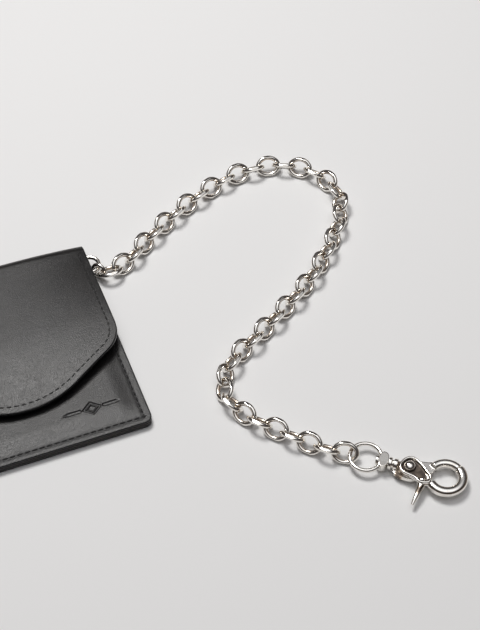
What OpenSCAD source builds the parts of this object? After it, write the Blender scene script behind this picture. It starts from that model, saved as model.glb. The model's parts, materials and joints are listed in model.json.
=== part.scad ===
// Chain wallet: flap wallet in black leather with a steel cable chain and a trigger clasp.
// Millimetres. +Z is up with the wallet lying on its back, +Y points at the fold, +X along the width.
// The origin is the centre of the wallet's flat back face.

/* [Wallet body] */
// width across the closed wallet
wallet_w = 95; // [88:1:120]
// length from the bottom edge to the outside of the fold
wallet_h = 101; // [85:1:120]
// outside radius of the fold at the top
fold_r = 5.2; // [4:0.1:7]
// thickness of the back leather
back_t = 1.8; // [1.2:0.1:2.5]
// thickness of the inner card panel
card_t = 1.2; // [0.8:0.1:1.8]
// thickness of the front panel at its edge
front_t = 1.2; // [0.8:0.1:2]
// height the padded middle of the front panel stands above its edge
front_pad = 0.8; // [0.2:0.1:1.5]
// how far down from the fold the front pocket's mouth lies
mouth_drop = 26; // [20:1:34]
// radius of the two bottom corners
corner_r = 3.5; // [1:0.5:8]
// distance of the seams from the leather edge
seam_in = 3.3; // [2:0.1:5]
// length of one stitch
stitch_len = 2.3; // [1.5:0.1:3]
// spacing of the stitches
stitch_pitch = 3.1; // [2.5:0.1:4]
// thickness of the sewing thread
thread_d = 0.7; // [0.4:0.05:1]
// depth of the plain ornament pressed into the front panel
deboss = 0.35; // [0.1:0.05:0.5]

/* [Flap] */
// thickness of the flap leather
flap_t = 2.2; // [1.6:0.1:3]
// distance of the flap's lowest point from the fold
flap_len = 81; // [60:0.5:90]
// height the flap arches above the fold
flap_arch = 0.7; // [0:0.1:3]
// radius of the curve at the middle of the flap
flap_mid_r = 44; // [30:1:60]
// angle of the flap's slanting edges
flap_slant = 32; // [20:1:45]
// radius of the flap's side corners
flap_corner_r = 16; // [4:0.5:20]

/* [Chain] */
// outside length of a link
link_l = 12; // [9:0.1:16]
// outside width of a link
link_w = 10; // [8:0.1:13]
// wire thickness of a link
wire = 2; // [1.4:0.1:2.6]
// distance from one link to the next
pitch = 7.66; // [6:0.01:9]
// roll of each link, left and right in turn, as it lies on a table
roll = 45; // [30:1:60]
// depth of the flat cut on each long side
facet = 0.35; // [0.1:0.05:0.6]

/* [Rings and clasp] */
// outside diameter of the ring sewn to the wallet
ring_d = 10.8; // [9:0.1:14]
// wire thickness of that ring
ring_wire = 1.9; // [1.4:0.1:2.5]
// outside diameter of the round jump ring
jump_d = 8; // [7:0.1:10]
// wire thickness of the jump ring
jump_wire = 1.6; // [1.2:0.1:2]
// centre-line radius of the swivel loop
loop_r = 6.6; // [6:0.05:8]
// wire thickness of the swivel loop
loop_wire = 1.9; // [1.4:0.1:2.4]
// direction the clasp points in on the table
clasp_heading = -38; // [-90:1:90]
// centre-line radius of the claw
claw_r = 6.85; // [5:0.05:9]
// thickness of the claw bar
claw_d = 3.9; // [3:0.1:5]
// height of the clasp's flat faces
claw_flat = 3.4; // [2.6:0.1:4]

/* [Hidden] */
$fn = 48;

half_w = wallet_w / 2;
y_bottom = -wallet_h / 2;
y_top = wallet_h / 2;
y_fold = y_top - fold_r;
y_mouth = y_top - mouth_drop;
z_card = back_t;
z_front = back_t + card_t;
z_edge = z_front + front_t;
z_pad = z_edge + front_pad;
flap_tip = y_top - flap_len;
leather = [0.13, 0.13, 0.14];
silver = [0.8, 0.8, 0.78];

// ---------- wallet leather ----------

// side outline of the wallet with rounded bottom corners, from the bottom edge up to y1
module outline(y1, inset = 0) {
  w = half_w - inset;
  y0 = y_bottom + inset;
  r = max(corner_r - inset, 0.5);
  translate([-w, y0 + r])
    square([2 * w, y1 - y0 - r]);
  translate([-w + r, y0])
    square([2 * w - 2 * r, 2 * r]);
  for (s = [-1, 1])
    translate([s * (w - r), y0 + r])
      circle(r);
}

// a slab of leather between two heights
module slab(z0, z1, y1, inset = 0) {
  translate([0, 0, z0])
    linear_extrude(z1 - z0)
      outline(y1, inset);
}

// runs a profile drawn in Y and Z across the wallet's width
module across(w = wallet_w) {
  translate([-w / 2, 0, 0])
    rotate([90, 0, 90])
      linear_extrude(w)
        children();
}

// back leather with the lower quarter of the fold
module back_panel() {
  color(leather)
    union() {
      slab(0, back_t, y_fold);
      across()
        translate([y_fold, fold_r])
          intersection() {
            difference() {
              circle(fold_r, $fn = 64);
              circle(fold_r - back_t, $fn = 64);
            }
            translate([0, -fold_r - 1])
              square([fold_r + 1, fold_r + 0.95]);
          }
    }
}

// inner panel, open at the top as a pocket, with the strap that holds the ring
module card_panel() {
  color([0.16, 0.15, 0.15])
    difference() {
      union() {
        slab(z_card, z_front, y_fold - 2);
        translate([30, ring_y - strap_w / 2, z_front - 0.3])
          cube([strap_x + 0.5 - 30, strap_w, 1.3]);
        translate([strap_x, ring_y - strap_w / 2, ring_z - strap_z])
          cube([strap_l, strap_w, 2 * strap_z]);
      }
      translate([-half_w + 5, y_bottom + 5, z_card - 1])
        cube([wallet_w - 10, wallet_h, 1.4]);
      translate([strap_x + strap_wall, ring_y - strap_w, ring_z - strap_z + strap_wall])
        cube([strap_l - 2 * strap_wall, 2 * strap_w, 2 * (strap_z - strap_wall)]);
    }
}

// front pocket panel with its padded middle, seam grooves and pressed ornament
module front_panel() {
  color(leather)
    difference() {
      union() {
        slab(z_front, z_edge, y_mouth);
        slab(z_edge - 0.1, z_edge + front_pad / 2, y_mouth, 5.5);
        slab(z_edge, z_pad, y_mouth, 7);
      }
      translate([-half_w + 5, y_bottom + 5, z_front - 1])
        cube([wallet_w - 10, wallet_h, 1.5]);
      for (s = [-1, 1])
        translate([s * (half_w - seam_in) - 0.5, y_bottom + 1.8, z_edge - 0.5])
          cube([1, wallet_h, 3]);
      translate([-half_w + 1.8, y_bottom + seam_in - 0.5, z_edge - 0.5])
        cube([wallet_w - 3.6, 1, 3]);
      translate([25, -36, z_pad - deboss])
        ornament();
      translate([0, snap_y, z_front])
        cylinder(h = 3, r = 1.2);
    }
}

// plain pressed ornament: a lozenge between two bars
module ornament() {
  linear_extrude(2) {
    circle(3, $fn = 4);
    for (s = [-1, 1])
      translate([s * 7.5 - 3, -0.5])
        square([6, 1]);
  }
}

// one straight stitch lying along X
module stitch() {
  translate([-stitch_len / 2, 0, 0])
    rotate([0, 90, 0])
      cylinder(h = stitch_len, d = thread_d, $fn = 16);
}

// seam of the front panel: right, bottom and left
module body_stitches() {
  n_side = floor((y_mouth - y_bottom - 5) / stitch_pitch);
  n_low = floor((wallet_w - 2 * seam_in) / stitch_pitch / 2);
  z = z_edge - 0.12;
  color([0.05, 0.05, 0.05]) {
    for (s = [-1, 1])
      for (i = [0:n_side - 1])
        translate([s * (half_w - seam_in), y_bottom + seam_in + (i + 0.5) * stitch_pitch, z])
          rotate([0, 0, 90])
            stitch();
    for (i = [-n_low:n_low - 1])
      translate([(i + 0.5) * stitch_pitch, y_bottom + seam_in, z])
        stitch();
  }
}

// ---------- snap ----------

snap_y = -14;
stud_base_r = 5;
stud_base_h = 0.6;
stud_r = 2;
stud_gap = 0.5;
shank_h = 1.2;
socket_r = 5.4;
socket_h = 1.25;
socket_roof = 0.3;
socket_play = 0.35;
// lowest point of the sloping flap over the socket, where the socket's flat top meets it
snap_top = flap_under(snap_y - socket_r) - 0.05;

// ball stud riveted to the front panel
module snap_stud() {
  color(silver)
    translate([0, snap_y, 0]) {
      translate([0, 0, z_pad - shank_h])
        cylinder(h = shank_h, r = 1.2);
      translate([0, 0, z_pad])
        cylinder(h = stud_base_h, r = stud_base_r);
      translate([0, 0, z_pad + stud_base_h])
        cylinder(h = snap_top - stud_gap - z_pad - stud_base_h, r = stud_r);
    }
}

// socket pressed on under the flap
module snap_socket() {
  color(silver)
    translate([0, snap_y, snap_top - socket_h])
      difference() {
        cylinder(h = socket_h, r = socket_r);
        translate([0, 0, -1])
          cylinder(h = 1 + socket_h - socket_roof, r = stud_r + socket_play);
      }
}

// ---------- flap ----------

// top surface of the flap over y
function flap_top(y) = 2 * fold_r + flap_arch * (1 - pow((y - 8) / (y_fold - 8), 2));
function flap_under(y) = flap_top(y) - flap_t;

arc_y = flap_tip + flap_mid_r;
slant_x = flap_mid_r * sin(flap_slant);
slant_y = arc_y - flap_mid_r * cos(flap_slant);
corner_x = half_w - flap_corner_r;
corner_y = slant_y + (flap_corner_r + (corner_x - slant_x) * sin(flap_slant)) / cos(flap_slant);

// right half of the flap's edge, moved in by d, from the tip to the side
function edge_half(d) = concat(
  [for (i = [0:8]) let (a = flap_slant * i / 8)
    [(flap_mid_r - d) * sin(a), arc_y - (flap_mid_r - d) * cos(a)]],
  [for (i = [0:8]) let (a = flap_slant + (90 - flap_slant) * i / 8)
    [corner_x + (flap_corner_r - d) * sin(a), corner_y - (flap_corner_r - d) * cos(a)]],
  [[half_w - d, y_top + 5]]);

// the whole outline of the flap, moved in by d
module flap_outline(d = 0) {
  half = edge_half(d);
  n = len(half);
  polygon(concat(half, [for (i = [n - 1:-1:1]) [-half[i][0], half[i][1]]]));
}

// strip of the flap's section between two depths under its top face
module flap_strip(d0, d1) {
  n = 8;
  ys = [for (i = [0:n]) flap_tip - 1 + (y_fold - flap_tip + 1) * i / n];
  polygon(concat([for (i = [0:n]) [ys[i], flap_top(ys[i]) - d0]],
    [for (i = [n:-1:0]) [ys[i], flap_top(ys[i]) - d1]]));
}

// flap leather with the upper quarter of the fold and its seam groove
module flap_leather() {
  color(leather)
    difference() {
      union() {
        intersection() {
          across()
            flap_strip(0, flap_t);
          linear_extrude(30)
            flap_outline();
        }
        across()
          translate([y_fold, fold_r])
            intersection() {
              difference() {
                circle(fold_r, $fn = 64);
                circle(fold_r - flap_t, $fn = 64);
              }
              translate([0, 0.05])
                square([fold_r + 1, fold_r + 1]);
            }
      }
      intersection() {
        across()
          flap_strip(-2, 0.5);
        linear_extrude(30)
          difference() {
            flap_outline(seam_in - 0.5);
            flap_outline(seam_in + 0.5);
            translate([-100, y_fold - 1])
              square(200);
          }
      }
    }
}

// lengths of the four runs of the flap's right seam
run_a = y_fold - 2 - corner_y;
run_b = (flap_corner_r - seam_in) * (90 - flap_slant) * PI / 180;
run_c = norm([corner_x + flap_corner_r * sin(flap_slant) - slant_x,
  corner_y - flap_corner_r * cos(flap_slant) - slant_y]);
run_d = (flap_mid_r - seam_in) * flap_slant * PI / 180;

// place and direction [x, y, angle] at distance s along the right seam
function seam_at(s) =
  s < run_a ? [half_w - seam_in, y_fold - 2 - s, -90] :
  s < run_a + run_b ?
    let (a = 90 - (s - run_a) / (flap_corner_r - seam_in) * 180 / PI)
    [corner_x + (flap_corner_r - seam_in) * sin(a),
      corner_y - (flap_corner_r - seam_in) * cos(a), a] :
  s < run_a + run_b + run_c ?
    let (t = run_a + run_b + run_c - s)
    [slant_x - seam_in * sin(flap_slant) + t * cos(flap_slant),
      slant_y + seam_in * cos(flap_slant) + t * sin(flap_slant), flap_slant] :
    let (a = (run_a + run_b + run_c + run_d - s) / (flap_mid_r - seam_in) * 180 / PI)
    [(flap_mid_r - seam_in) * sin(a), arc_y - (flap_mid_r - seam_in) * cos(a), a];

// seam round the flap
module flap_stitches() {
  n = floor((run_a + run_b + run_c + run_d) / stitch_pitch);
  color([0.05, 0.05, 0.05])
    for (i = [0:n - 1])
      for (s = [-1, 1]) {
        p = seam_at((i + 0.5) * stitch_pitch);
        slope = atan(flap_arch * 2 * (8 - p[1]) / pow(y_fold - 8, 2)) * sin(p[2]);
        translate([s * p[0], p[1], flap_top(p[1]) - 0.13])
          rotate([0, -slope, s * p[2]])
            stitch();
      }
}

// ---------- rings at the wallet ----------

ring_x = half_w;
ring_y = 39.3;
ring_z = 4.95;
ring_mid = (ring_d - ring_wire) / 2;
strap_x = ring_x - ring_mid - 2.05;
strap_l = 5;
strap_w = 4.4;
strap_z = 1.95;
strap_wall = 0.8;
jump_mid = (jump_d - jump_wire) / 2;
jump_heading = -51;
jump_lean = 10;
jump_reach = ring_mid + 0.97;
jump_x = ring_x + jump_reach * cos(jump_heading);
jump_y = ring_y + jump_reach * sin(jump_heading);
jump_z = 4.2;

// ring of round wire lying flat
module round_ring(mid, d) {
  rotate_extrude()
    translate([mid, 0])
      circle(d / 2, $fn = 24);
}

// ring held by the strap at the wallet's side
module wallet_ring() {
  color(silver)
    translate([ring_x, ring_y, ring_z])
      round_ring(ring_mid, ring_wire);
}

// round jump ring standing on edge and leaning a little
module jump_ring() {
  color(silver)
    translate([jump_x, jump_y, jump_z])
      rotate([90 - jump_lean, 0, jump_heading])
        round_ring(jump_mid, jump_wire);
}

// ---------- chain ----------

// lay of the chain on the table: direction of the link with this number
function heading(i) = lookup(i, [[1, 2], [3, 38], [8, 26], [11, 16], [14, -10], [16, -40],
  [18, -69], [20, -108], [22, -128], [24, -133], [28, -147], [33, -151], [35, -126],
  [37, -73], [39, -49], [42, -47], [44, -32]]);
function dir(i) = [cos(heading(i)), sin(heading(i)), 0];

link_a = (link_l - wire) / 2;
link_b = (link_w - wire) / 2;
end_r = 0.6 * link_a;
end_x = link_a - end_r;
side_r = (end_x * end_x + link_b * link_b - end_r * end_r) / (2 * (link_b - end_r));
side_y = side_r - link_b;
lift = link_b * sin(roll) + wire / 2;
chain_start = [54.7, 33.9, lift];

// point on the chain's line where the link with this number belongs
function centre(i) = i == 1 ? chain_start :
  centre(i - 1) + pitch / 2 * (dir(i - 1) + dir(i));

// link_01 hooks into the jump ring, so it lies off the line and rolls less
hook_shift = [0.85, -0.65, 0];
hook_roll = 27;
function place(i) = i == 1 ? centre(i) + hook_shift : centre(i);
function roll_of(i) = i == 1 ? -hook_roll : i % 2 == 0 ? roll : -roll;

// the stretch of a ring of link wire between two rays from the ring's centre
module wire_arc(r, ray_a, ray_b) {
  intersection() {
    rotate_extrude()
      translate([r, 0])
        circle(wire / 2, $fn = 24);
    translate([0, 0, -wire])
      linear_extrude(2 * wire)
        polygon([[0, 0], ray_a, ray_b]);
  }
}

// one oval link along X with a flat cut on each long side
module link_solid() {
  ray = 4 * [end_x, side_y];
  difference() {
    union()
      for (s = [-1, 1]) {
        translate([s * end_x, 0, 0])
          wire_arc(end_r, [s * ray[0], ray[1]], [s * ray[0], -ray[1]]);
        translate([0, -s * side_y, 0])
          wire_arc(side_r, [ray[0], s * ray[1]], [-ray[0], s * ray[1]]);
      }
    for (y = [-1, 1])
      for (z = [-1, 1])
        translate([0, y * link_b, 0])
          rotate([z * 35 * y, 0, 0])
            translate([-5, y > 0 ? wire / 2 - facet : -wire / 2 + facet - 2, -2])
              cube([10, 2, 4]);
  }
}

// the link with this number, where it lies
module chain_link(i) {
  color(silver)
    translate(place(i))
      rotate([0, 0, heading(i)])
        rotate([roll_of(i), 0, 0])
          link_solid();
}

// ---------- swivel and clasp ----------

// everything below is drawn along X from the far end of the last link
module at_clasp() {
  translate(centre(44) + link_a * dir(44) - [0, 0, lift - clasp_z])
    rotate([0, 0, clasp_heading])
      children();
}

clasp_z = 3.8;
loop_x = loop_r - 2.9;
block_x0 = loop_x + loop_r - 0.9;
block_x1 = block_x0 + 3.8;
pin_r = 1.15;
rivet_x = block_x1 + 8.9;
claw_x = rivet_x + 15.2;
rivet_r = 1.6;

// loop the last link hangs in, with the drilled block the pin turns in
module swivel_loop() {
  color(silver)
    at_clasp()
      difference() {
        union() {
          difference() {
            translate([loop_x, 0, 0])
              round_ring(loop_r, loop_wire);
            translate([block_x0 - 3, -2.7, -2])
              cube([3, 5.4, 4]);
          }
          translate([block_x0, -3.3, -2.1])
            cube([block_x1 - block_x0, 6.6, 4.2]);
        }
        translate([block_x0 - 1, 0, 0])
          rotate([0, 90, 0])
            cylinder(h = 8, r = pin_r + 0.05);
      }
}

// headed pin the loop turns on, fixed in the clasp's body
module swivel_pin() {
  color(silver)
    at_clasp()
      rotate([0, 90, 0]) {
        translate([0, 0, block_x0 - 1.35])
          cylinder(h = 1.3, r = 2);
        translate([0, 0, block_x0 - 0.1])
          cylinder(h = block_x1 - block_x0 + 2.9, r = pin_r);
      }
}

// arc of the claw from angle a0 to angle a1, with flat top and bottom
module claw_arc(a0, a1) {
  intersection() {
    rotate([0, 0, a0])
      rotate_extrude(angle = a1 - a0, $fn = 72)
        translate([claw_r, 0])
          circle(claw_d / 2, $fn = 24);
    translate([-15, -15, -claw_flat / 2])
      cube([30, 30, claw_flat]);
  }
}

// lower half of the clasp with the pin's collar and the upper claw
module clasp_body() {
  color(silver)
    at_clasp()
      difference() {
        union() {
          translate([block_x1 + 0.15, 0, 0])
            rotate([0, 90, 0])
              cylinder(h = 3.6, r = 2.1);
          translate([block_x1 + 2.5, -2.1, -2])
            cube([2.2, 4.2, 1.8]);
          translate([rivet_x, 0, -2])
            cylinder(h = 1.8, r = 4.6);
          translate([0, 0, -2])
            linear_extrude(1.8)
              polygon([[rivet_x, 4.5], [rivet_x, -3], [rivet_x + 8, -0.5],
                [claw_x - 4, 3.6], [claw_x - 5.6, 6.3], [rivet_x + 7, 5.2]]);
          translate([claw_x, 0, 0])
            claw_arc(54, 148);
        }
        translate([rivet_x, 0, -3])
          cylinder(h = 6, r = rivet_r);
        translate([rivet_x, 0, -1.15])
          cylinder(h = 2, r = 3.4);
        translate([block_x1 - 1, 0, 0])
          rotate([0, 90, 0])
            cylinder(h = 3.9, r = pin_r);
      }
}

// upper half of the clasp: plate, thumb tab and lower claw
module clasp_trigger() {
  color(silver)
    at_clasp()
      difference() {
        union() {
          translate([rivet_x, 0, 0])
            cylinder(h = 2, r = 4.6);
          linear_extrude(2)
            polygon([[rivet_x - 3, -3.4], [rivet_x + 4.4, -5], [rivet_x + 5.2, -8],
              [rivet_x + 7.4, -8.2], [rivet_x + 8.4, -6.6], [claw_x - 4.2, -6.2],
              [claw_x - 5.2, -2.6], [rivet_x + 7.5, 0.6], [rivet_x + 3.5, 2.9], [rivet_x, 4.4]]);
          translate([rivet_x + 5.3, -7.2, -1.9])
            rotate([0, 0, -8])
              translate([0, -8.8, 0])
                cube([1.9, 8.8, 3.9]);
          translate([claw_x, 0, 0])
            claw_arc(-142, 51);
        }
        translate([rivet_x, 0, -1])
          cylinder(h = 4, r = rivet_r + 0.05);
      }
}

// rivet with its domed head on top
module clasp_rivet() {
  color(silver)
    at_clasp()
      translate([rivet_x, 0, 0]) {
        translate([0, 0, -3.4])
          cylinder(h = 1.4, r = 2.6);
        translate([0, 0, -2.05])
          cylinder(h = 4.2, r = rivet_r);
        translate([0, 0, 2.1])
          intersection() {
            translate([0, 0, -1.9])
              sphere(3.2);
            cylinder(h = 2, r = 2.5);
          }
      }
}

// wire spring in its pocket round the rivet, with its two legs
module clasp_spring() {
  color([0.6, 0.6, 0.6])
    at_clasp()
      translate([rivet_x, 0, -0.7]) {
        rotate([0, 0, 30])
          rotate_extrude(angle = 300)
            translate([2.6, 0])
              circle(0.3, $fn = 16);
        for (a = [30, 330])
          rotate([0, 0, a])
            translate([2.6, 0, 0])
              rotate([a == 30 ? 90 : -90, 0, 0])
                cylinder(h = 0.9, r = 0.3, $fn = 16);
      }
}

back_panel();
card_panel();
front_panel();
body_stitches();
snap_stud();
flap_leather();
flap_stitches();
snap_socket();
wallet_ring();
jump_ring();
chain_link(1);  // link_01
chain_link(2);  // link_02
chain_link(3);  // link_03
chain_link(4);  // link_04
chain_link(5);  // link_05
chain_link(6);  // link_06
chain_link(7);  // link_07
chain_link(8);  // link_08
chain_link(9);  // link_09
chain_link(10);  // link_10
chain_link(11);  // link_11
chain_link(12);  // link_12
chain_link(13);  // link_13
chain_link(14);  // link_14
chain_link(15);  // link_15
chain_link(16);  // link_16
chain_link(17);  // link_17
chain_link(18);  // link_18
chain_link(19);  // link_19
chain_link(20);  // link_20
chain_link(21);  // link_21
chain_link(22);  // link_22
chain_link(23);  // link_23
chain_link(24);  // link_24
chain_link(25);  // link_25
chain_link(26);  // link_26
chain_link(27);  // link_27
chain_link(28);  // link_28
chain_link(29);  // link_29
chain_link(30);  // link_30
chain_link(31);  // link_31
chain_link(32);  // link_32
chain_link(33);  // link_33
chain_link(34);  // link_34
chain_link(35);  // link_35
chain_link(36);  // link_36
chain_link(37);  // link_37
chain_link(38);  // link_38
chain_link(39);  // link_39
chain_link(40);  // link_40
chain_link(41);  // link_41
chain_link(42);  // link_42
chain_link(43);  // link_43
chain_link(44);  // link_44
swivel_loop();
swivel_pin();
clasp_body();
clasp_trigger();
clasp_rivet();
clasp_spring();
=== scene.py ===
# Chain wallet: a flap wallet in black leather, a steel cable chain and a trigger clasp.
import json
import math

import bmesh
import bpy
import numpy as np
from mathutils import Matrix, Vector


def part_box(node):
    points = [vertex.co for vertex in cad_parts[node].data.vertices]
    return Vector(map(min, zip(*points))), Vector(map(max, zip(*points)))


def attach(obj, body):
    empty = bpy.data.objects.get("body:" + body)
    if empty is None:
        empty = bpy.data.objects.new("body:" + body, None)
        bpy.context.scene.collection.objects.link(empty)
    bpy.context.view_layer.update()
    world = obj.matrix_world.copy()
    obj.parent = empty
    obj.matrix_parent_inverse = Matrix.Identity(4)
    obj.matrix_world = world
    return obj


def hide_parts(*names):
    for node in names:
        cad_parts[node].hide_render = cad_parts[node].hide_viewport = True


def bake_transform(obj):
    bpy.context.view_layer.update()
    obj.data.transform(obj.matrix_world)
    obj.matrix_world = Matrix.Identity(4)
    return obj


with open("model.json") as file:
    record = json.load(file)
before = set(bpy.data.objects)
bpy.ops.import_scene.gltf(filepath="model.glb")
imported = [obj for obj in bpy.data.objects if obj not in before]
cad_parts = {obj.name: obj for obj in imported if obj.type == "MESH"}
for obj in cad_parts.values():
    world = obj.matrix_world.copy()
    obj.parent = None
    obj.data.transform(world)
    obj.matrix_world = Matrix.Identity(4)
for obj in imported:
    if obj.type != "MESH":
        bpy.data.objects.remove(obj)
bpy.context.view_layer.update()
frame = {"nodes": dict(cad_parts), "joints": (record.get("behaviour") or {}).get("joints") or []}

MM = 0.001
joints = {j["name"]: j for j in frame["joints"]}

# ---------- studio ----------
# The wallet lies on a pale table under a large soft light. The camera stands in front of it and
# a little to its left, looking down on the chain with a long lens.
AIM = Vector((102.0, -7.9, 0.0)) * MM
KEY_PLACE = Vector((0.03, 0.43, 1.0))
CAMERA_TURN = math.radians(20.8)
CAMERA_RISE = math.radians(51.5)
CAMERA_DISTANCE = 713 * MM
SENSOR = 36.0
LENS = 92.2857

camera = bpy.data.objects.new("camera", bpy.data.cameras.new("camera"))
bpy.context.scene.collection.objects.link(camera)
level = math.cos(CAMERA_RISE)
back = Vector((-math.sin(CAMERA_TURN) * level, -math.cos(CAMERA_TURN) * level, math.sin(CAMERA_RISE)))
camera.location = AIM + CAMERA_DISTANCE * back
camera.rotation_mode = "QUATERNION"
camera.rotation_quaternion = (-back).to_track_quat("-Z", "Y")
camera.data.sensor_width = SENSOR
camera.data.lens = LENS
camera.data.clip_start = 0.01
bpy.context.scene.camera = camera
bpy.context.scene.view_settings.view_transform = "Standard"


def area_light(name, place, size, power, colour):
    """A square soft light that faces the middle of the chain."""
    data = bpy.data.lights.new(name, "AREA")
    data.shape, data.size, data.energy, data.color = "SQUARE", size, power, colour
    light = bpy.data.objects.new(name, data)
    bpy.context.scene.collection.objects.link(light)
    light.location = place
    light.rotation_mode = "QUATERNION"
    light.rotation_quaternion = (AIM - light.location).to_track_quat("-Z", "Y")


area_light("key", KEY_PLACE, 0.34, 7.6, (1.0, 0.985, 0.965))


class Value:
    """A socket of a material or world; arithmetic on it adds Math nodes."""

    def __init__(self, tree, socket):
        self.tree = tree
        self.socket = socket

    def math(self, operation, first, second):
        node = self.tree.nodes.new("ShaderNodeMath")
        node.operation = operation
        for slot, term in enumerate((first, second)):
            if isinstance(term, Value):
                self.tree.links.new(term.socket, node.inputs[slot])
            else:
                node.inputs[slot].default_value = term
        return Value(self.tree, node.outputs[0])

    def __add__(self, other):
        return self.math("ADD", self, other)

    def __radd__(self, other):
        return self.math("ADD", other, self)

    def __sub__(self, other):
        return self.math("SUBTRACT", self, other)

    def __rsub__(self, other):
        return self.math("SUBTRACT", other, self)

    def __mul__(self, other):
        return self.math("MULTIPLY", self, other)


class Finish:
    """A material, or the world, with one method that adds any node."""

    def __init__(self, name, owner=None):
        self.owner = owner or bpy.data.materials.new(name)
        self.owner.use_nodes = True
        self.tree = self.owner.node_tree
        self.shader = self.tree.nodes.get("Principled BSDF")

    def node(self, kind, settings=None, inputs=None, output=0):
        made = self.tree.nodes.new(kind)
        for name, setting in (settings or {}).items():
            if name == "stops":
                ramp = made.color_ramp
                for k, (place, colour) in enumerate(setting):
                    stop = ramp.elements[k] if k < 2 else ramp.elements.new(place)
                    stop.position, stop.color = place, (*colour, 1.0)
            else:
                setattr(made, name, setting)
        for name, term in (inputs or {}).items():
            self.put(made.inputs[name], term)
        return Value(self.tree, made.outputs[output])

    def put(self, socket, term):
        if isinstance(term, Value):
            self.tree.links.new(term.socket, socket)
        else:
            socket.default_value = term

    def set(self, **terms):
        for name, term in terms.items():
            self.put(self.shader.inputs[name.replace("_", " ")], term)

    def place(self):
        """The point on the object, in metres."""
        return self.node("ShaderNodeTexCoord", output=3)

    def noise(self, scale, detail=3.0, rough=0.5):
        return self.node("ShaderNodeTexNoise", inputs={
            "Vector": self.place(), "Scale": scale, "Detail": detail, "Roughness": rough})

    def attribute(self, name):
        return self.node("ShaderNodeAttribute", {"attribute_name": name}, output=2)

    def ramp(self, term, *stops):
        return self.node("ShaderNodeValToRGB", {"stops": stops}, {"Fac": term})

    def bump(self, height, strength, distance):
        self.set(Normal=self.node("ShaderNodeBump", inputs={
            "Height": height, "Strength": strength, "Distance": distance}))


table = Finish("table_top")
table.set(Base_Color=(0.80, 0.80, 0.80, 1.0), Roughness=0.9)
table.bump(table.noise(90.0), 0.02, 0.001)
bpy.ops.mesh.primitive_plane_add(size=6.0, location=(0.1, 0.0, -0.00005))
floor = bpy.context.object
floor.name = "floor"
floor.data.materials.append(table.owner)

world = Finish("room", bpy.data.worlds.new("room"))
bpy.context.scene.world = world.owner
height = world.node("ShaderNodeSeparateXYZ", inputs={
    "Vector": world.node("ShaderNodeTexCoord", output=0)}, output=2)
sky = world.ramp(height, (0.0, (0.30, 0.26, 0.23)), (1.0, (1.0, 1.0, 1.0)),
                 (0.16, (0.05, 0.04, 0.035)), (0.78, (0.05, 0.048, 0.05)), (0.94, (0.9, 0.9, 0.92)))
background = world.tree.nodes["Background"]
world.put(background.inputs["Color"], sky)
background.inputs["Strength"].default_value = 1.3


# ---------- leather shell ----------
# One piece of black cowhide makes the back, the fold and the flap. It is about 2 mm thick, and its
# edges are painted and burnished.
HALF_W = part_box("back_panel")[1].x / MM
Y_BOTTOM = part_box("back_panel")[0].y / MM
Y_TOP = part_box("back_panel")[1].y / MM
FLAP_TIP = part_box("flap_leather")[0].y / MM
FOLD_R = 5.2
Y_FOLD = Y_TOP - FOLD_R
SHELL_T = 1.9
BACK_Z = 0.95
CORNER_R = 3.5
SEAM_IN = 3.3
FLAP_MID_R = 44.0
FLAP_SLANT = math.radians(32)
FLAP_CORNER_R = 16.0
EDGE_ROUND = 0.55
SEAM_PULL, SEAM_SPREAD = 0.26, 0.55
EDGE_ROLL, ROLL_SPREAD = 0.35, 1.5
MID_DROP, MID_DROP_FROM, MID_DROP_RUN = 2.9, 8, 38
SIDE_BULGE, SIDE_BULGE_FROM, SIDE_BULGE_RUN = 2.35, 48, 46


def new_mesh(name, points, faces, material, attributes=None, smooth=True):
    """A mesh object from points in millimetres."""
    data = bpy.data.meshes.new(name)
    data.from_pydata([tuple(p) for p in np.asarray(points, float) * MM], [], faces)
    data.validate()
    for key, values in (attributes or {}).items():
        layer = data.attributes.new(key, "FLOAT", "POINT")
        layer.data.foreach_set("value", np.asarray(values, np.float32))
    data.polygons.foreach_set("use_smooth", [smooth] * len(data.polygons))
    data.materials.append(material)
    piece = bpy.data.objects.new(name, data)
    bpy.context.scene.collection.objects.link(piece)
    return piece


def unit(vectors):
    return vectors / np.maximum(np.linalg.norm(vectors, axis=-1, keepdims=True), 1e-12)


def face_outward(piece):
    """Turns every face of a closed piece outward."""
    shape = bmesh.new()
    shape.from_mesh(piece.data)
    bmesh.ops.recalc_face_normals(shape, faces=shape.faces)
    shape.to_mesh(piece.data)
    shape.free()


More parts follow.
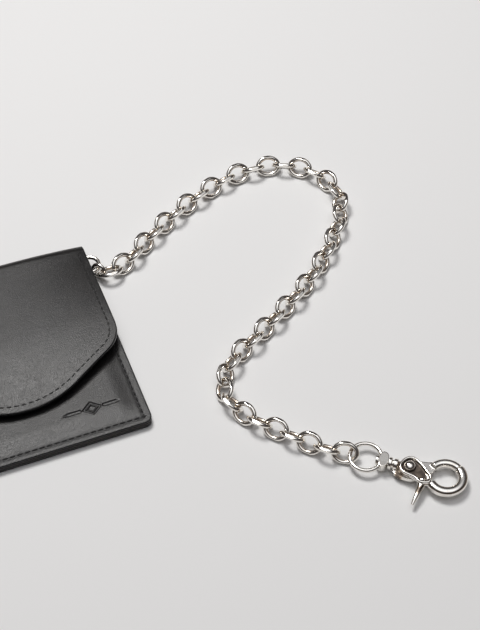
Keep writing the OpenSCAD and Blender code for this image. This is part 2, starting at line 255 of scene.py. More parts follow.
def leather_slab(name, middle, thick, material, lift=None, seam=None, rim_rows=6):
    """A closed sheet of leather round a grid of middle points, with a rounded painted edge.
    lift raises or sinks the top face, and seam marks where the thread pulls it in."""
    rows, columns = middle.shape[:2]
    along = np.gradient(middle, axis=0)
    across = np.gradient(middle, axis=1)
    normal = unit(np.cross(across, along))
    lift = np.zeros((rows, columns)) if lift is None else lift
    top = middle + normal * (thick / 2 + lift[..., None])
    low = middle - normal * thick / 2
    grid = np.arange(rows * columns).reshape(rows, columns)
    ring = np.concatenate([grid[0, :-1], grid[:-1, -1], grid[-1, :0:-1], grid[:0:-1, 0]])
    points = [top.reshape(-1, 3), low.reshape(-1, 3)]
    faces = []
    for r in range(rows - 1):
        for c in range(columns - 1):
            quad = [grid[r, c], grid[r, c + 1], grid[r + 1, c + 1], grid[r + 1, c]]
            faces.append([int(k) for k in quad])
            faces.append([int(k) + rows * columns for k in reversed(quad)])
    centre = middle.reshape(-1, 3)[ring]
    up = normal.reshape(-1, 3)[ring]
    out = unit(np.cross(unit(np.roll(centre, -1, 0) - np.roll(centre, 1, 0)), up))
    count = len(ring)
    previous = ring
    start = 2 * rows * columns
    for k in range(1, rim_rows):
        a = math.pi * k / rim_rows
        points.append(centre + thick / 2 * (math.cos(a) * up + EDGE_ROUND * math.sin(a) * out))
        current = start + (k - 1) * count + np.arange(count)
        for n in range(count):
            m = (n + 1) % count
            faces.append([int(previous[n]), int(current[n]), int(current[m]), int(previous[m])])
        previous = current
    last = ring + rows * columns
    for n in range(count):
        m = (n + 1) % count
        faces.append([int(previous[n]), int(last[n]), int(last[m]), int(previous[m])])
    points = np.concatenate(points)
    edge = np.zeros(len(points))
    edge[start:] = 1.0
    pull = np.zeros(len(points))
    if seam is not None:
        pull[:rows * columns] = seam.reshape(-1)
    piece = new_mesh(name, points, faces, material, {"edge": edge, "seam": pull})
    face_outward(piece)
    return piece


def flap_edge(x, inset=0.0):
    """Distance along Y of the flap's curved edge at x, for an edge moved in by inset."""
    x = np.abs(x)
    arc_y = FLAP_TIP + FLAP_MID_R
    slant_x = FLAP_MID_R * math.sin(FLAP_SLANT)
    slant_y = arc_y - FLAP_MID_R * math.cos(FLAP_SLANT)
    corner_x = HALF_W - FLAP_CORNER_R
    corner_y = slant_y + (FLAP_CORNER_R + (corner_x - slant_x) * math.sin(FLAP_SLANT)) / math.cos(FLAP_SLANT)
    r_mid, r_corner = FLAP_MID_R - inset, FLAP_CORNER_R - inset
    start = r_mid * math.sin(FLAP_SLANT)
    end = corner_x + r_corner * math.sin(FLAP_SLANT)
    middle = arc_y - np.sqrt(np.maximum(r_mid ** 2 - x ** 2, 0))
    line = arc_y - r_mid * math.cos(FLAP_SLANT) + (x - start) * math.tan(FLAP_SLANT)
    side = corner_y - np.sqrt(np.maximum(r_corner ** 2 - (x - corner_x) ** 2, 0))
    return np.where(x < start, middle, np.where(x < end, line, side))


def bottom_edge(x, inset=0.0):
    """Distance along Y of the wallet's bottom edge at x, with its rounded corners."""
    r = max(CORNER_R - inset, 0.4)
    over = np.clip(np.abs(x) - (HALF_W - inset - r), 0, r)
    return Y_BOTTOM + inset + r - np.sqrt(np.maximum(r ** 2 - over ** 2, 0))


def smooth_step(t):
    t = np.clip(t, 0, 1)
    return t * t * (3 - 2 * t)


def fold_radius(x):
    """Outside radius of the fold: fuller in the middle than at the two sides."""
    return 5.75 - 1.5 * (np.abs(x) / HALF_W) ** 2.5


def flap_top(x, y):
    """Height of the flap's top face: it bulges over the pockets and drops to its tip."""
    middle = 2 * fold_radius(0 * x) - MID_DROP * (np.maximum(MID_DROP_FROM - y, 0) / MID_DROP_RUN) ** 2
    side = 2 * fold_radius(0 * x + HALF_W) + SIDE_BULGE * smooth_step((SIDE_BULGE_FROM - y) / SIDE_BULGE_RUN)
    share = (np.abs(x) / HALF_W) ** 2.2
    return middle * (1 - share) + side * share


def spaced(low, high, count):
    """Numbers from low to high, closer together near both ends."""
    t = np.linspace(0, 1, count)
    ends = 0.5 - 0.5 * np.cos(math.pi * t)
    return low + (high - low) * (0.45 * t + 0.55 * ends)


black = Finish("black_leather")
grain = black.node("ShaderNodeTexVoronoi", {"feature": "DISTANCE_TO_EDGE"},
                   {"Vector": black.place(), "Scale": 1500.0})
pores = black.noise(2600.0, 4.0, 0.65)
mottle = black.noise(95.0, 5.0, 0.6)
wear = black.noise(28.0, 3.0, 0.5)
creases = black.noise(330.0, 6.0, 0.62)
painted = black.attribute("edge")
seam_groove_shade = black.attribute("seam")
# The seam groove is painted darker in the base colour, as painted shade where the thread sinks the leather;
# it is also rougher there.
black.set(
    Base_Color=black.ramp(mottle * 0.6 + wear * 0.4 - painted * 0.3 - seam_groove_shade * 0.25,
                          (0.18, (0.003, 0.003, 0.004)), (0.78, (0.013, 0.0115, 0.011))),
    Roughness=0.33 + (mottle - 0.5) * 0.12 + (creases - 0.5) * 0.08 - painted * 0.08 + seam_groove_shade * 0.2,
    Specular_IOR_Level=0.42)
black.bump(grain * 0.7 + pores * 0.5 * (1 - painted) + creases * 0.35 + mottle * 0.5, 0.5, 0.00025)

inset = SHELL_T / 2 * EDGE_ROUND
xs = spaced(-HALF_W + inset, HALF_W - inset, 132)
back_rows, fold_rows, flap_rows = 60, 26, 112
edge_y = flap_edge(xs, inset)
low_y = bottom_edge(xs, inset)
shell = []
for t in np.linspace(0, 1, back_rows):
    shell.append(np.stack([xs, low_y + (Y_FOLD - low_y) * t, 0 * xs + BACK_Z], -1))
for t in np.linspace(0, 1, fold_rows + 2)[1:-1]:
    a = math.pi * t
    reach = FOLD_R - SHELL_T / 2
    high = fold_radius(xs) * 2 - SHELL_T / 2
    shell.append(np.stack([xs, 0 * xs + Y_FOLD + reach * math.sin(a),
                           (BACK_Z + high) / 2 - (high - BACK_Z) / 2 * math.cos(a)], -1))
for t in np.linspace(0, 1, flap_rows):
    y = Y_FOLD + (edge_y - Y_FOLD) * t
    blend_in = smooth_step(t * 6)
    z = (flap_top(xs, y) * blend_in + 2 * fold_radius(xs) * (1 - blend_in)) - SHELL_T / 2
    shell.append(np.stack([xs, y, z], -1))
shell = np.array(shell)


def seam_distance(points_x, points_y, line):
    """Distance from each point to a polyline."""
    best = np.full(points_x.shape, 1e9)
    for p, q in zip(line[:-1], line[1:]):
        d = q - p
        t = np.clip(((points_x - p[0]) * d[0] + (points_y - p[1]) * d[1]) / (d @ d), 0, 1)
        best = np.minimum(best, np.hypot(points_x - p[0] - t * d[0], points_y - p[1] - t * d[1]))
    return best


half = np.linspace(-(HALF_W - SEAM_IN), HALF_W - SEAM_IN, 121)
flap_seam = np.stack([half, flap_edge(half, SEAM_IN)], -1)
side_y = np.linspace(Y_FOLD - 2, flap_seam[-1, 1], 30)[:-1]
flap_seam = np.concatenate([
    np.stack([0 * side_y - half[-1], side_y], -1), flap_seam,
    np.stack([0 * side_y + half[-1], side_y], -1)[::-1]])
on_flap = np.zeros(shell.shape[:2])
on_flap[back_rows + fold_rows:] = 1.0
to_seam = seam_distance(shell[..., 0], shell[..., 1], flap_seam)
groove = on_flap * np.exp(-(to_seam / SEAM_SPREAD) ** 2)
outer = np.linspace(-HALF_W, HALF_W, 161)
to_edge = seam_distance(shell[..., 0], shell[..., 1], np.stack([outer, flap_edge(outer)], -1))
rolled_edge = on_flap * np.exp(-(to_edge / ROLL_SPREAD) ** 2)
leather = leather_slab("shell_leather", shell, SHELL_T, black.owner,
                       -SEAM_PULL * groove - EDGE_ROLL * rolled_edge, groove)
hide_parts("back_panel", "flap_leather")
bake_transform(leather)

# ---------- front pocket ----------
# The front pocket is a second piece of the same hide, sewn on three sides. Its middle is a little
# padded, and a plain lozenge between two bars is pressed in near its lower right corner.
PANEL_Z = 3.6
PANEL_T = 1.2
PANEL_PAD = 0.75
PAD_RISE = 9.0
MOUTH_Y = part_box("front_panel")[1].y / MM
MARK_X, MARK_Y = 25.0, -36.0
MARK_DEPTH = 0.45
MARK_HALF = 11
MARK_STEP = 0.22
PANEL_PULL, PANEL_SPREAD = 0.24, 0.5


def mark_depth(x, y):
    """How far the ornament is pressed in at a point."""
    x, y = x - MARK_X, y - MARK_Y
    lozenge = (np.abs(x) * 0.8 + np.abs(y) - 3.4) / 1.28
    rib = 0.3 - np.abs(lozenge + 1.15)
    bars = np.hypot(np.maximum(np.abs(np.abs(x) - 8.0) - 2.6, 0), y) - 0.75
    shape = np.minimum(np.maximum(lozenge, rib), bars)
    return MARK_DEPTH * smooth_step(0.5 - shape / 0.45)


def merged(*runs):
    return np.unique(np.round(np.concatenate(runs), 3))


panel_inset = PANEL_T / 2 * EDGE_ROUND
panel_x = merged(spaced(-HALF_W + panel_inset, HALF_W - panel_inset, 84),
                 np.arange(MARK_X - MARK_HALF, MARK_X + MARK_HALF, MARK_STEP))
mark_y = np.arange(MARK_Y - 4, MARK_Y + 4, MARK_STEP)
panel_rows = merged(np.linspace(0, 1, 76), (mark_y - Y_BOTTOM) / (MOUTH_Y - Y_BOTTOM))
panel_low = bottom_edge(panel_x, panel_inset)
panel = np.array([np.stack([panel_x, panel_low + (MOUTH_Y - panel_low) * t, 0 * panel_x + PANEL_Z], -1)
                  for t in panel_rows])
gx, gy = panel[..., 0], panel[..., 1]
body_seam = np.array([[-HALF_W + SEAM_IN, MOUTH_Y], [-HALF_W + SEAM_IN, Y_BOTTOM + SEAM_IN],
                      [HALF_W - SEAM_IN, Y_BOTTOM + SEAM_IN], [HALF_W - SEAM_IN, MOUTH_Y]])
from_seam = seam_distance(gx, gy, body_seam)
pad = PANEL_PAD * smooth_step((HALF_W - SEAM_IN - np.abs(gx)) / PAD_RISE) \
    * smooth_step((gy - Y_BOTTOM - SEAM_IN) / PAD_RISE)
panel_groove = np.exp(-(from_seam / PANEL_SPREAD) ** 2)
front = leather_slab("front_pocket", panel, PANEL_T, black.owner,
                     pad - PANEL_PULL * panel_groove - mark_depth(gx, gy), panel_groove)
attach(front, "root")
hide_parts("front_panel")

# ---------- inner panel and ring strap ----------
# A thinner, smoother piece of lining leather makes the card pocket behind the front pocket. The
# strap that holds the ring is a folded tab of the same leather.
lining = Finish("lining_leather")
nap = lining.noise(1800.0, 4.0, 0.6)
tone = lining.noise(120.0)
lining.set(
    Base_Color=lining.ramp(tone, (0.3, (0.020, 0.018, 0.018)), (0.75, (0.048, 0.042, 0.040))),
    Roughness=0.72 + (nap - 0.5) * 0.2)
lining.bump(nap, 0.3, 0.00015)

card_top = Y_FOLD - 2
CARD_Z, CARD_T = 2.4, 1.2
card_inset = CARD_T / 2 * EDGE_ROUND
card_x = spaced(-HALF_W + card_inset, HALF_W - card_inset, 60)
card_low = bottom_edge(card_x, card_inset)
card = np.array([np.stack([card_x, card_low + (card_top - card_low) * t, 0 * card_x + CARD_Z], -1)
                 for t in np.linspace(0, 1, 60)])
cards = leather_slab("card_pocket", card, CARD_T, lining.owner)
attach(cards, "root")
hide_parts("card_panel")

ring_low, ring_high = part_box("wallet_ring")
ring_centre = (np.array(ring_low) + np.array(ring_high)) / 2 / MM
STRAP_W, STRAP_T, STRAP_LOOP = 4.4, 0.75, 1.55
WIRE_X = ring_low.x / MM + 0.95
STRAP_ROOT_X = 31
STRAP_UNDER_Z, STRAP_OVER_Z = 3.375, 4.25
strap_path = [np.array([x, STRAP_UNDER_Z]) for x in np.linspace(STRAP_ROOT_X, WIRE_X - 0.3, 10)]
for a in np.linspace(-90, 180, 24):
    turn = math.radians(a)
    strap_path.append(np.array([WIRE_X + 0.35 + STRAP_LOOP * math.cos(turn),
                                ring_centre[2] + STRAP_LOOP * math.sin(turn)]))
strap_path.append(np.array([WIRE_X - 1.25, STRAP_OVER_Z]))
strap = np.array([[[p[0], ring_centre[1] + w, p[1]] for w in np.linspace(-STRAP_W / 2, STRAP_W / 2, 9)]
                  for p in strap_path])
tab = leather_slab("ring_strap", strap, STRAP_T, lining.owner)
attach(tab, "root")

# ---------- stitches ----------
# Waxed black thread holds the pockets and finishes the flap's edge, about eight stitches to
# 25 mm. Each visible stitch is a short plump length of thread lying in its groove.
thread = Finish("waxed_thread")
twist = thread.node("ShaderNodeTexWave", inputs={
    "Vector": thread.place(), "Scale": 900.0, "Distortion": 1.5, "Detail": 1.0})
thread.set(Base_Color=thread.ramp(twist, (0.0, (0.004, 0.004, 0.004)), (1.0, (0.018, 0.018, 0.018))),
           Roughness=0.55 + twist * 0.12)
thread.bump(twist, 0.4, 0.0001)


STITCH_PITCH, STITCH_LENGTH, THREAD = 3.1, 2.5, 0.82


def stitch_tree():
    """Geometry Nodes that lay stitches along a curve."""
    tree = bpy.data.node_groups.new("stitches", "GeometryNodeTree")
    face = tree.interface
    face.new_socket("Geometry", in_out="INPUT", socket_type="NodeSocketGeometry")
    keys = {}
    for name in ("Pitch", "Length", "Thread"):
        keys[name] = face.new_socket(name, in_out="INPUT", socket_type="NodeSocketFloat").identifier
    keys["Finish"] = face.new_socket("Finish", in_out="INPUT", socket_type="NodeSocketMaterial").identifier
    face.new_socket("Geometry", in_out="OUTPUT", socket_type="NodeSocketGeometry")
    add, link = tree.nodes.new, tree.links.new
    given, result = add("NodeGroupInput"), add("NodeGroupOutput")
    points = add("GeometryNodeCurveToPoints")
    points.mode = "LENGTH"
    link(given.outputs["Geometry"], points.inputs["Curve"])
    link(given.outputs["Pitch"], points.inputs["Length"])
    ball = add("GeometryNodeMeshUVSphere")
    ball.inputs["Segments"].default_value = 8
    ball.inputs["Rings"].default_value = 6
    ball.inputs["Radius"].default_value = 0.5
    size = add("ShaderNodeCombineXYZ")
    link(given.outputs["Thread"], size.inputs["X"])
    link(given.outputs["Thread"], size.inputs["Y"])
    link(given.outputs["Length"], size.inputs["Z"])
    shaped = add("GeometryNodeTransform")
    link(ball.outputs["Mesh"], shaped.inputs["Geometry"])
    link(size.outputs[0], shaped.inputs["Scale"])
    laid = add("GeometryNodeInstanceOnPoints")
    link(points.outputs["Points"], laid.inputs["Points"])
    link(shaped.outputs[0], laid.inputs["Instance"])
    link(points.outputs["Rotation"], laid.inputs["Rotation"])
    real = add("GeometryNodeRealizeInstances")
    link(laid.outputs[0], real.inputs[0])
    coat = add("GeometryNodeSetMaterial")
    link(real.outputs[0], coat.inputs["Geometry"])
    link(given.outputs["Finish"], coat.inputs["Material"])
    link(coat.outputs[0], result.inputs[0])
    return tree, keys


def plain_copy(maker, name):
    """The evaluated shape of a node-made object as a plain mesh object."""
    evaluated = maker.evaluated_get(bpy.context.evaluated_depsgraph_get())
    data = bpy.data.meshes.new_from_object(evaluated)
    data.name = name
    data.polygons.foreach_set("use_smooth", [True] * len(data.polygons))
    source = maker.data
    bpy.data.objects.remove(maker)
    if isinstance(source, bpy.types.Curve):
        bpy.data.curves.remove(source)
    piece = bpy.data.objects.new(name, data)
    bpy.context.scene.collection.objects.link(piece)
    return piece


STITCHES, STITCH_KEYS = stitch_tree()


def sew(name, lines, node, body):
    """Stitches along each line of points, in millimetres."""
    data = bpy.data.curves.new(name, "CURVE")
    data.dimensions = "3D"
    for line in lines:
        spline = data.splines.new("POLY")
        spline.points.add(len(line) - 1)
        spline.points.foreach_set("co", np.c_[np.array(line) * MM, np.ones(len(line))].ravel())
    maker = bpy.data.objects.new(name + "_line", data)
    bpy.context.scene.collection.objects.link(maker)
    modifier = maker.modifiers.new("stitches", "NODES")
    modifier.node_group = STITCHES
    modifier[STITCH_KEYS["Pitch"]] = STITCH_PITCH * MM
    modifier[STITCH_KEYS["Length"]] = STITCH_LENGTH * MM
    modifier[STITCH_KEYS["Thread"]] = THREAD * MM
    modifier[STITCH_KEYS["Finish"]] = thread.owner
    piece = plain_copy(maker, name)
    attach(piece, body)
    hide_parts(node)


THREAD_SINK = 0.12
flap_line = [(x, y, float(flap_top(np.array(x), np.array(y))) - THREAD_SINK) for x, y in flap_seam]
sew("flap_thread", [flap_line], "flap_stitches", "flap")
panel_thread_z = PANEL_Z + PANEL_T / 2 - THREAD_SINK
seam_runs = [[(x, y, panel_thread_z) for x, y in (body_seam[k], body_seam[k + 1])] for k in range(3)]
sew("pocket_thread", seam_runs, "body_stitches", "root")

# ---------- steel ----------
# Chain, rings and clasp are nickel-plated steel, polished bright, with fine handling scratches.
# A brownish painted shade, standing in for warm reflections, darkens the links' inner sides and the clasp's
# hollows.
steel = Finish("bright_steel")
haze = steel.noise(160.0, 4.0, 0.6)
scratch = steel.noise(2400.0, 5.0, 0.7)
painted_shade = steel.attribute("painted_shade")
# The attribute read here darkens and browns the base colour as painted shade and painted warm reflection, on
# the links' inner sides and in the clasp's hollows. It also raises the roughness.
steel.set(
    Metallic=1.0,
    Base_Color=steel.ramp(haze * 0.4 + 0.42 - painted_shade * 0.55,
                          (0.08, (0.06, 0.05, 0.043)), (0.62, (0.88, 0.855, 0.81)),
                          (0.36, (0.46, 0.37, 0.29))),
    Roughness=0.11 + haze * 0.07 + painted_shade * 0.2)
steel.bump(scratch * 0.6 + haze * 0.4, 0.06, 0.00006)


def tube(path, radius, closed, sides=20, side_axis=(0, 0, 1.0)):
    """Points and faces of round wire along a path, closed on itself or capped."""
    path = np.asarray(path, float)
    count = len(path)
    if closed:
        run = unit(np.roll(path, -1, 0) - np.roll(path, 1, 0))
    else:
        run = unit(np.gradient(path, axis=0))
    side = unit(np.cross(run, np.asarray(side_axis)))
    up = np.cross(side, run)
    radius = np.broadcast_to(radius, (count,))
    points = []
    for a in 2 * math.pi * np.arange(sides) / sides:
        points.append(path + radius[:, None] * (math.cos(a) * side + math.sin(a) * up))
    points = np.stack(points, 1).reshape(-1, 3)
    faces = []
    for n in range(count if closed else count - 1):
        for k in range(sides):
            m, j = (n + 1) % count, (k + 1) % sides
            faces.append([n * sides + k, n * sides + j, m * sides + j, m * sides + k])
    if not closed:
        faces.append([k for k in range(sides)][::-1])
        faces.append([(count - 1) * sides + k for k in range(sides)])
    return points, faces


def round_ring(name, centre, first, second, middle, wire, body):
    """A closed ring of round wire in the plane of two directions."""
    a = 2 * math.pi * np.arange(72)[:, None] / 72
    path = centre + middle * (np.cos(a) * first + np.sin(a) * second)
    points, faces = tube(path, wire / 2, True, 20, np.cross(first, second))
    piece = new_mesh(name, points, faces, steel.owner)
    face_outward(piece)
    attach(piece, body)
    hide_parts(body)


RING_R, RING_WIRE = 4.45, 1.9
JUMP_R, JUMP_WIRE = 3.2, 1.6
east, north, up_z = np.array([1.0, 0, 0]), np.array([0, 1.0, 0]), np.array([0, 0, 1.0])
round_ring("strap_ring", ring_centre, east, north, RING_R, RING_WIRE, "wallet_ring")
jump_low, jump_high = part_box("jump_ring")
jump_centre = (np.array(jump_low) + np.array(jump_high)) / 2 / MM
jump_axis = np.array(joints["jump_ring_swing"]["axis"])
jump_level = np.array([jump_axis[1], -jump_axis[0], 0.0])
lean = math.radians(10)
jump_up = math.cos(lean) * up_z + math.sin(lean) * np.array([-jump_level[1], jump_level[0], 0])
round_ring("small_ring", jump_centre, jump_level, jump_up, JUMP_R, JUMP_WIRE, "jump_ring")

# ---------- chain links ----------
# Each link is a length of 2 mm wire bent to an oval, welded shut, and ground flat along the two
# outer faces of each long side. Links lie rolled to the left and to the right in turn.
WIRE = 2.0
LINK_A, LINK_B = 5.0, 4.0
ROLL, FIRST_ROLL = 45, -27
END_R, END_X, SIDE_R, SIDE_Y = 3.0, 2.0, 5.5, 1.5
FACET = 0.3
FACET_TILT = math.radians(35)


def link_path():
    """Centre line of one link, four arcs that meet smoothly."""
    turn = math.atan2(SIDE_Y, END_X)
    arcs = []
    for sign in (1, -1):
        a = np.linspace(-turn, turn, 16, endpoint=False)
        arcs.append(np.c_[sign * (END_X + END_R * np.cos(a)), sign * END_R * np.sin(a)])
        a = np.linspace(turn, math.pi - turn, 26, endpoint=False)
        arcs.append(np.c_[sign * SIDE_R * np.cos(a), sign * (SIDE_R * np.sin(a) - SIDE_Y)])
    flat = np.concatenate(arcs)
    return np.c_[flat, np.zeros(len(flat))]


link_points, link_faces = tube(link_path(), WIRE / 2, True, 24)
side_sign = np.sign(link_points[:, 1])
face_sign = np.sign(link_points[:, 2])
depth = ((np.abs(link_points[:, 1]) - LINK_B) * math.cos(FACET_TILT)
         + np.abs(link_points[:, 2]) * math.sin(FACET_TILT))
cut = np.maximum(depth - (WIRE / 2 - FACET), 0)
from_middle = np.linalg.norm(link_points * [LINK_B / LINK_A, 1.0, 0.0], axis=1)
inner_side = smooth_step((LINK_B - 0.2 - from_middle) / 0.8)
link_points[:, 1] -= side_sign * cut * math.cos(FACET_TILT)
link_points[:, 2] -= face_sign * cut * math.sin(FACET_TILT)
# The inner side of each link is painted darker and browner: painted shade and painted warm reflection between
# the wires.
pattern = new_mesh("link_pattern", link_points, link_faces, steel.owner, {"painted_shade": 0.42 * inner_side})
face_outward(pattern)


def lay_tree():
    """Geometry Nodes that turn and place one link."""
    tree = bpy.data.node_groups.new("lay_link", "GeometryNodeTree")
    face = tree.interface
    face.new_socket("Geometry", in_out="INPUT", socket_type="NodeSocketGeometry")
    keys = {}
    for name in ("Roll", "Heading", "Place"):
        keys[name] = face.new_socket(name, in_out="INPUT", socket_type="NodeSocketVector").identifier
    keys["Finish"] = face.new_socket("Finish", in_out="INPUT", socket_type="NodeSocketMaterial").identifier
    face.new_socket("Geometry", in_out="OUTPUT", socket_type="NodeSocketGeometry")
    add, link = tree.nodes.new, tree.links.new
    given, result = add("NodeGroupInput"), add("NodeGroupOutput")
    rolled, headed = add("GeometryNodeTransform"), add("GeometryNodeTransform")
    link(given.outputs["Geometry"], rolled.inputs["Geometry"])
    link(given.outputs["Roll"], rolled.inputs["Rotation"])
    link(rolled.outputs[0], headed.inputs["Geometry"])
    link(given.outputs["Heading"], headed.inputs["Rotation"])
    link(given.outputs["Place"], headed.inputs["Translation"])
    real, coat = add("GeometryNodeRealizeInstances"), add("GeometryNodeSetMaterial")
    link(headed.outputs[0], real.inputs[0])
    link(real.outputs[0], coat.inputs["Geometry"])
    link(given.outputs["Finish"], coat.inputs["Material"])
    link(coat.outputs[0], result.inputs[0])
    return tree, keys


LAY, LAY_KEYS = lay_tree()
LINK_COUNT = sum(name.startswith("link_") for name in frame["nodes"])
for number in range(1, LINK_COUNT + 1):
    body = f"link_{number:02d}"
    low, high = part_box(body)
    middle = (low + high) / 2
    after = "swivel_loop_turn" if number == LINK_COUNT else f"link_{number + 1:02d}_turn"
    far = Vector(joints[after]["pos_m"])
    heading = math.atan2(far.y - middle.y, far.x - middle.x)
    lie = ROLL if number % 2 == 0 else -ROLL
    roll = math.radians(FIRST_ROLL if number == 1 else lie)
    maker = bpy.data.objects.new(body + "_maker", pattern.data)
    bpy.context.scene.collection.objects.link(maker)
    modifier = maker.modifiers.new("lay", "NODES")
    modifier.node_group = LAY
    modifier[LAY_KEYS["Roll"]] = (roll, 0.0, 0.0)
    modifier[LAY_KEYS["Heading"]] = (0.0, 0.0, heading)
    modifier[LAY_KEYS["Place"]] = tuple(middle)
    modifier[LAY_KEYS["Finish"]] = steel.owner
    piece = plain_copy(maker, f"chain_{body}")
    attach(piece, body)
    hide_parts(body)
bpy.data.objects.remove(pattern)

# ---------- swivel and clasp ----------
# The clasp is cast in two halves that turn on one domed rivet, with a coil spring between them.
# Its collar turns on a headed pin through the drilled block of the swivel loop.
clasp_at = np.array(joints["clasp_swivel"]["pos_m"]) / MM
clasp_x = np.array(joints["clasp_swivel"]["axis"])
clasp_y = np.array([-clasp_x[1], clasp_x[0], 0.0])
BLOCK_X0 = 9.4
BLOCK_X1 = 13.2
BLOCK_HALF = 2.1
RIVET_X = 22.1
CLAW_X = 37.3
CLAW_R = 6.85
CLAW_SQUARE = 2.4
BODY_LOW, BODY_HIGH = -2.1, -0.3
LEVER_HIGH, RIM_Z, RIM_R = 1.35, 1.75, 0.68
CAST_VOXEL = 0.15


def clasp_point(x, y, z=0.0):
    return clasp_at + np.multiply.outer(np.asarray(x, float), clasp_x) \
        + np.multiply.outer(np.asarray(y, float), clasp_y) + np.multiply.outer(np.asarray(z, float), up_z)


def rounded(outline, rounds=3):
    """A closed outline with its corners cut smooth."""
    outline = np.asarray(outline, float)
    for _ in range(rounds):
        after = np.roll(outline, -1, 0)
        outline = np.stack([0.75 * outline + 0.25 * after, 0.25 * outline + 0.75 * after], 1).reshape(-1, 2)
    return outline


def plate(outline, z0, z1):
    """A flat plate between two heights."""
    count = len(outline)
    points = np.concatenate([np.c_[outline, np.full(count, z)] for z in (z0, z1)])
    faces = [list(range(count))[::-1], [count + k for k in range(count)]]
    for k in range(count):
        j = (k + 1) % count
        faces.append([k, j, count + j, count + k])
    return points, faces


def disc(x, y, r, z0, z1, count=40):
    a = 2 * math.pi * np.arange(count) / count
    return plate(np.c_[x + r * np.cos(a), y + r * np.sin(a)], z0, z1)


def barrel(x0, x1, r, r1=None):
    """A round bar along the clasp's length."""
    path = np.c_[np.linspace(x0, x1, 8), np.zeros(8), np.zeros(8)]
    return tube(path, np.linspace(r, r if r1 is None else r1, 8), False, 28)


def claw(a0, a1, wide, tall, low=0.0):
    """A stretch of the claw with a soft rectangular section, its middle set lower by low."""
    a = np.radians(np.linspace(a0, a1, 60))
    path = np.c_[CLAW_X + CLAW_R * np.cos(a), CLAW_R * np.sin(a), 0 * a]
    points, faces = tube(path, 1.0, False, 24)
    out = np.c_[np.cos(a), np.sin(a), 0 * a].repeat(24, 0)
    centre = path.repeat(24, 0)
    offset = points - centre
    radial = (offset * out).sum(1)
    height = offset[:, 2]
    squarer = (np.abs(radial) ** CLAW_SQUARE + np.abs(height) ** CLAW_SQUARE) ** (1 / CLAW_SQUARE)
    points = centre + out * (radial / squarer * wide / 2)[:, None]
    points[:, 2] = height / squarer * tall / 2 - low
    return points, faces


def cast(name, solids, node, body, painted_shade=None, smoothing=5):
    """One cast piece: solids drawn in the clasp's frame, melted together and smoothed."""
    points, faces, start = [], [], 0
    for part_points, part_faces in solids:
        points.append(part_points)
        faces += [[k + start for k in face] for face in part_faces]
        start += len(part_points)
    local = np.concatenate(points)
    rough = new_mesh(name + "_rough", clasp_point(local[:, 0], local[:, 1], local[:, 2]), faces, steel.owner)
    face_outward(rough)
    melt = rough.modifiers.new("melt", "REMESH")
    melt.mode, melt.voxel_size = "VOXEL", CAST_VOXEL * MM
    soften = rough.modifiers.new("soften", "SMOOTH")
    soften.iterations, soften.factor = smoothing, 0.5
    piece = plain_copy(rough, name)
    found = np.array([v.co for v in piece.data.vertices]) / MM - clasp_at
    local = np.stack([found @ clasp_x, found @ clasp_y, found[:, 2]], -1)
    # Painted shade: the given function marks where the colour is darkened, standing in for shade and dark
    # reflections.
    shade = np.zeros(len(local)) if painted_shade is None else painted_shade(local)
    layer = piece.data.attributes.new("painted_shade", "FLOAT", "POINT")
    layer.data.foreach_set("value", shade.astype(np.float32))
    if not piece.data.materials:
        piece.data.materials.append(steel.owner)
    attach(piece, body)
    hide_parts(node)


LOOP_R, LOOP_X, LOOP_WIRE = 6.6, 3.7, 1.9
gap = math.radians(22)
a = np.linspace(gap, 2 * math.pi - gap, 90)
loop_path = np.c_[LOOP_X + LOOP_R * np.cos(a), LOOP_R * np.sin(a), 0 * a]
block_outline = [[BLOCK_X0 - 0.3, -3.9], [BLOCK_X1, -3.4], [BLOCK_X1, 3.4], [BLOCK_X0 - 0.3, 3.9]]
block = plate(rounded(block_outline, 2), -BLOCK_HALF, BLOCK_HALF)
cast("swivel_eye", [tube(loop_path, LOOP_WIRE / 2, False, 20), block], "swivel_loop", "swivel_loop")
stud_head = barrel(BLOCK_X0 - 1.35, BLOCK_X0 - 0.1, 2.0, 1.9)
stud_shank = barrel(BLOCK_X0 - 0.2, BLOCK_X1 + 2.7, 1.15)
cast("swivel_stud", [stud_head, stud_shank], "swivel_pin", "clasp", smoothing=2)

body_outline = rounded([[RIVET_X - 7.0, -3.2], [RIVET_X - 3.4, -5.2], [RIVET_X + 3.0, -5.4],
                        [RIVET_X + 8.5, -0.5], [CLAW_X - 4.4, 3.4],
                        [CLAW_X - 5.8, 6.4], [RIVET_X + 6.5, 5.2],
                        [RIVET_X - 1.0, 4.4], [RIVET_X - 5.0, 2.2]])
neck_outline = rounded([[BLOCK_X1 + 2.5, -2.2], [RIVET_X, -3.4], [RIVET_X, 3.4], [BLOCK_X1 + 2.5, 2.2]], 2)
collars = [barrel(BLOCK_X1 + 0.15, BLOCK_X1 + 1.5, 2.7), barrel(BLOCK_X1 + 1.4, BLOCK_X1 + 2.4, 1.8),
           barrel(BLOCK_X1 + 2.3, BLOCK_X1 + 3.9, 2.6)]
body_plates = [plate(neck_outline, BODY_LOW, BODY_HIGH), disc(RIVET_X, 0, 4.5, BODY_LOW, BODY_HIGH),
               plate(body_outline, BODY_LOW, BODY_HIGH)]


def neck_shade(p):
    """Painted shade: the neck between the last collar and the rivet is darker."""
    return 0.8 * smooth_step((RIVET_X - 1.5 - p[:, 0]) / 1.5) * smooth_step((p[:, 0] - BLOCK_X1 - 3.6) / 0.8)


cast("clasp_frame", collars + body_plates + [claw(54, 150, 3.5, 3.6)], "clasp_body", "clasp", neck_shade)

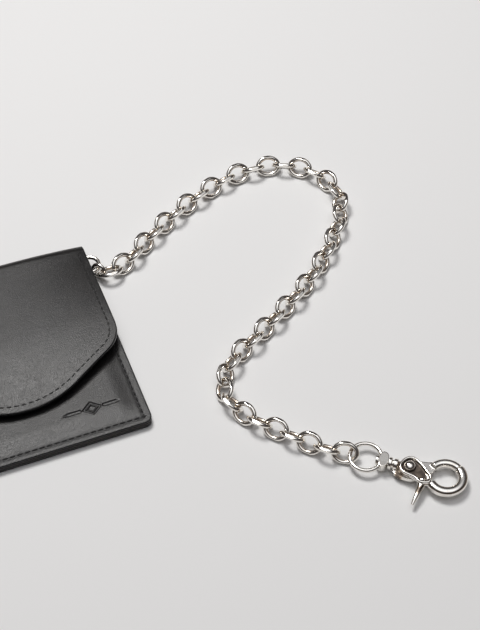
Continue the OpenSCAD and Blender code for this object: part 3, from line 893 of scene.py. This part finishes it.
trigger_outline = rounded([
    [RIVET_X - 4.7, 0.6], [RIVET_X - 3.3, -4.0], [RIVET_X + 3.4, -4.9], [RIVET_X + 5.2, -6.8],
    [RIVET_X + 7.6, -6.8], [CLAW_X - 5.2, -5.8], [CLAW_X - 5.4, -2.6], [RIVET_X + 7.6, -0.6],
    [RIVET_X + 3.8, 3.2], [RIVET_X - 1.0, 5.4]])
rim = np.c_[trigger_outline * [0.93, 0.9] + [RIVET_X * 0.07 + 0.2, 0.0], np.full(len(trigger_outline), RIM_Z)]
tab_path = np.array([[RIVET_X + 6.3, -4.4, 0.2], [RIVET_X + 6.3, -7.4, 0.1], [RIVET_X + 5.9, -10.6, 0.0],
                     [RIVET_X + 5.4, -13.6, -0.3], [RIVET_X + 5.0, -16.2, -0.8]])
tab_path = np.stack([np.interp(np.linspace(0, 4, 30), range(5), tab_path[:, k]) for k in range(3)], -1)
tab_solid = tube(tab_path, np.linspace(1.9, 0.65, 30), False, 20)


def floor_shade(p):
    """Painted shade: the sunken floor inside the lever's rim is darker, standing in for the dark reflections
    in that recess.
    """
    on_floor = smooth_step((1.72 - p[:, 2]) / 0.3) * smooth_step((p[:, 2] - 0.95) / 0.3)
    return on_floor * smooth_step((np.hypot(p[:, 0] - CLAW_X, p[:, 1]) - CLAW_R - 1.2) / 0.5)


cast("clasp_lever", [plate(trigger_outline, 0.0, LEVER_HIGH), tube(rim, RIM_R, True, 12), tab_solid,
                     claw(-138, 51, 4.1, 4.2, 0.2)], "clasp_trigger", "clasp_trigger", floor_shade)

dome = [(0.0, 3.5), (0.9, 3.4), (1.7, 3.05), (2.25, 2.5), (2.45, 1.9), (2.3, 1.5)]
tail = [(1.55, 1.4), (1.55, -2.0), (2.5, -2.1), (2.5, -2.7), (1.9, -3.2), (0.0, -3.4)]
profile = np.array(dome[1:] + tail[:-1])
sides = 40
turns = 2 * math.pi * np.arange(sides) / sides
rivet_points = np.concatenate([np.c_[r * np.cos(turns), r * np.sin(turns), np.full(sides, z)]
                               for r, z in profile])
rivet_faces = []
for n in range(len(profile) - 1):
    for k in range(sides):
        j = (k + 1) % sides
        rivet_faces.append([n * sides + k, n * sides + j, (n + 1) * sides + j, (n + 1) * sides + k])
rivet_points = np.concatenate([rivet_points, [[0, 0, dome[0][1]], [0, 0, tail[-1][1]]]])
top_point, low_point = len(rivet_points) - 2, len(rivet_points) - 1
last_row = (len(profile) - 1) * sides
for k in range(sides):
    rivet_faces.append([k, (k + 1) % sides, top_point])
    rivet_faces.append([last_row + (k + 1) % sides, last_row + k, low_point])
rivet = new_mesh("clasp_rivet_dome", clasp_point(
    rivet_points[:, 0] + RIVET_X, rivet_points[:, 1], rivet_points[:, 2]), rivet_faces, steel.owner)
face_outward(rivet)
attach(rivet, "clasp")
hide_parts("clasp_rivet")

# ---------- spring and snap ----------
# These small parts keep their plain turned shapes. The spring is drawn wire, and the snap's two
# halves are pressed from the same plated steel as the chain.
drawn = Finish("spring_wire")
lines = drawn.noise(1400.0, 4.0, 0.6)
drawn.set(Metallic=1.0, Base_Color=drawn.ramp(lines, (0.3, (0.34, 0.33, 0.32)), (0.7, (0.55, 0.54, 0.53))),
          Roughness=0.32 + lines * 0.12)
drawn.bump(lines, 0.2, 0.00005)
for name, finish in (("clasp_spring", drawn), ("snap_stud", steel), ("snap_socket", steel)):
    node = frame["nodes"][name]
    node.data.materials.clear()
    node.data.materials.append(finish.owner)
